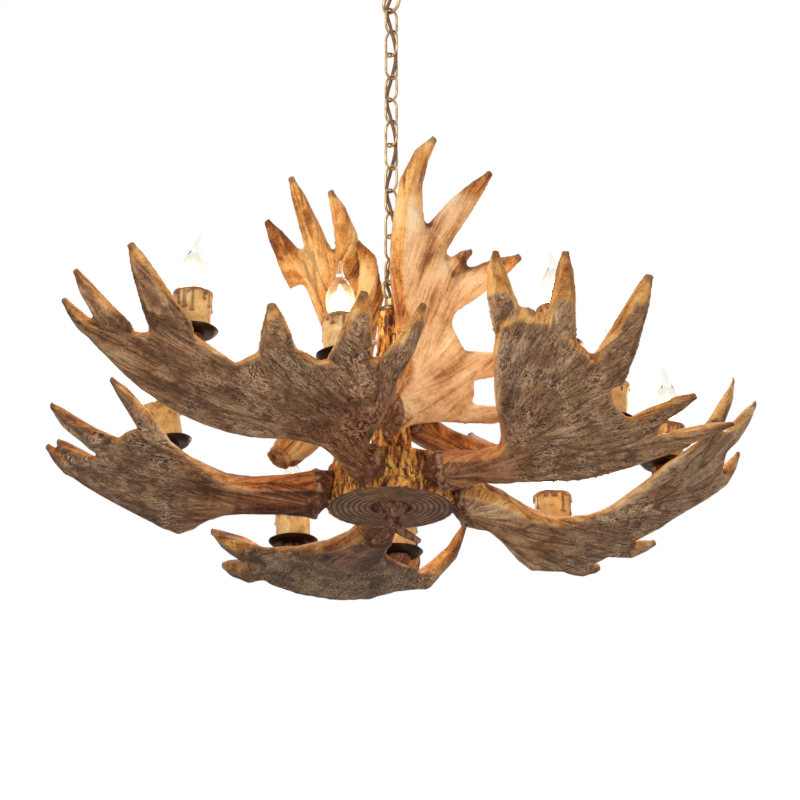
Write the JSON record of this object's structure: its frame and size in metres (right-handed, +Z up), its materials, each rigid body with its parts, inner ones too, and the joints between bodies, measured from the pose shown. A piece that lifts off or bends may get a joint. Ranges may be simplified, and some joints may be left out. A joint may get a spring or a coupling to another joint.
{
  "type": "antler chandelier",
  "caption": "Hanging chandelier of branching antlers round a bark-covered hub, with candle lamps in drip pans, on a chain from a ceiling canopy.",
  "frame": {"origin": "middle of the ceiling strap's top face, on the ceiling plane and on the hanging axis", "axes": "+Z up along the hanging chain, +X to the viewer's right in the picture, -Y towards the viewer"},
  "size_m": [0.8618, 0.646, 0.776],
  "materials": {
    "antler": "satin cast resin with fine grain",
    "bark": "rough cast resin bark",
    "end_grain": "matt cast resin end grain",
    "dark_metal": "satin dark bronze",
    "wax": "waxy",
    "holder": "satin",
    "lamp_glass": "clear glass",
    "antique_brass": "antique",
    "steel": "plated",
    "flex": "satin sheath"
  },
  "bodies": {
    "ceiling": {"canopy": "dark_metal", "canopy_collar": "dark_metal", "ceiling_loop": "antique_brass", "ceiling_strap": "steel", "strap_nut": "steel", "threaded_nipple": "antique_brass"},
    "top_link": {"chain_top_link": "antique_brass"},
    "chain": {"chain_links": "antique_brass", "flex": "flex"},
    "bottom_link": {"chain_bottom_link": "antique_brass"},
    "fixture": {"antler_front_left": "antler", "antler_front_right": "antler", "antler_lower_left": "antler", "antler_lower_rear": "antler", "antler_lower_right": "antler", "antler_rear_right": "antler", "antler_screws": "steel", "antler_upper_front": "antler", "antler_upper_rear": "antler", "candle_posts": "antler", "candle_sleeve_1": "wax", "candle_sleeve_2": "wax", "candle_sleeve_3": "wax", "candle_sleeve_4": "wax", "candle_sleeve_5": "wax", "candle_sleeve_6": "wax", "candle_sleeve_7": "wax", "candle_sleeve_8": "wax", "candle_sleeve_9": "wax", "centre_rod": "antique_brass", "column_cap": "antique_brass", "drip_pan_1": "dark_metal", "drip_pan_2": "dark_metal", "drip_pan_3": "dark_metal", "drip_pan_4": "dark_metal", "drip_pan_5": "dark_metal", "drip_pan_6": "dark_metal", "drip_pan_7": "dark_metal", "drip_pan_8": "dark_metal", "drip_pan_9": "dark_metal", "hub_column": "bark", "hub_drum": "bark", "hub_loop": "antique_brass", "lamp_holders": "holder", "ring_disc": "end_grain", "rod_nuts": "steel", "terminal_block": "holder", "twig_finial": "bark"},
    "lamp_1_body": {"lamp_1": "lamp_glass"},
    "lamp_2_body": {"lamp_2": "lamp_glass"},
    "lamp_3_body": {"lamp_3": "lamp_glass"},
    "lamp_4_body": {"lamp_4": "lamp_glass"},
    "lamp_5_body": {"lamp_5": "lamp_glass"},
    "lamp_6_body": {"lamp_6": "lamp_glass"},
    "lamp_7_body": {"lamp_7": "lamp_glass"},
    "lamp_8_body": {"lamp_8": "lamp_glass"},
    "lamp_9_body": {"lamp_9": "lamp_glass"}
  },
  "joints": [
    {"name": "top_link_swing", "type": "hinge", "parent": "ceiling", "child": "top_link", "pos_m": [0, 0, -0.0739], "axis": [0.7071, -0.7071, 0], "range_deg": [-25, 25]},
    {"name": "chain_swing", "type": "hinge", "parent": "top_link", "child": "chain", "pos_m": [0, 0, -0.1038], "axis": [0.7071, 0.7071, 0], "range_deg": [-25, 25], "deforming": ["flex"]},
    {"name": "bottom_link_swing", "type": "hinge", "parent": "chain", "child": "bottom_link", "pos_m": [0, 0, -0.4098], "axis": [0.7071, 0.7071, 0], "range_deg": [-8, 8]},
    {"name": "fixture_swing", "type": "hinge", "parent": "bottom_link", "child": "fixture", "pos_m": [0, 0, -0.4404], "axis": [0.7071, -0.7071, 0], "range_deg": [-8, 8]},
    {"name": "lamp_1_out", "type": "slide", "parent": "fixture", "child": "lamp_1_body", "axis": [0.0175, 0, 0.9998], "range_m": [0, 0.03]},
    {"name": "lamp_2_out", "type": "slide", "parent": "fixture", "child": "lamp_2_body", "axis": [-0.0349, 0.0174, 0.9992], "range_m": [0, 0.03]},
    {"name": "lamp_3_out", "type": "slide", "parent": "fixture", "child": "lamp_3_body", "axis": [-0.0349, 0, 0.9994], "range_m": [0, 0.03]},
    {"name": "lamp_4_out", "type": "slide", "parent": "fixture", "child": "lamp_4_body", "axis": [0.0175, 0.0175, 0.9997], "range_m": [0, 0.03]},
    {"name": "lamp_5_out", "type": "slide", "parent": "fixture", "child": "lamp_5_body", "axis": [0.0523, 0, 0.9986], "range_m": [0, 0.03]},
    {"name": "lamp_6_out", "type": "slide", "parent": "fixture", "child": "lamp_6_body", "axis": [-0.0175, 0.0175, 0.9997], "range_m": [0, 0.03]},
    {"name": "lamp_7_out", "type": "slide", "parent": "fixture", "child": "lamp_7_body", "axis": [-0.1736, 0, 0.9848], "range_m": [0, 0.03]},
    {"name": "lamp_8_out", "type": "slide", "parent": "fixture", "child": "lamp_8_body", "axis": [-0.0175, 0, 0.9998], "range_m": [0, 0.03]},
    {"name": "lamp_9_out", "type": "slide", "parent": "fixture", "child": "lamp_9_body", "axis": [0.0175, 0, 0.9998], "range_m": [0, 0.03]}
  ]
}
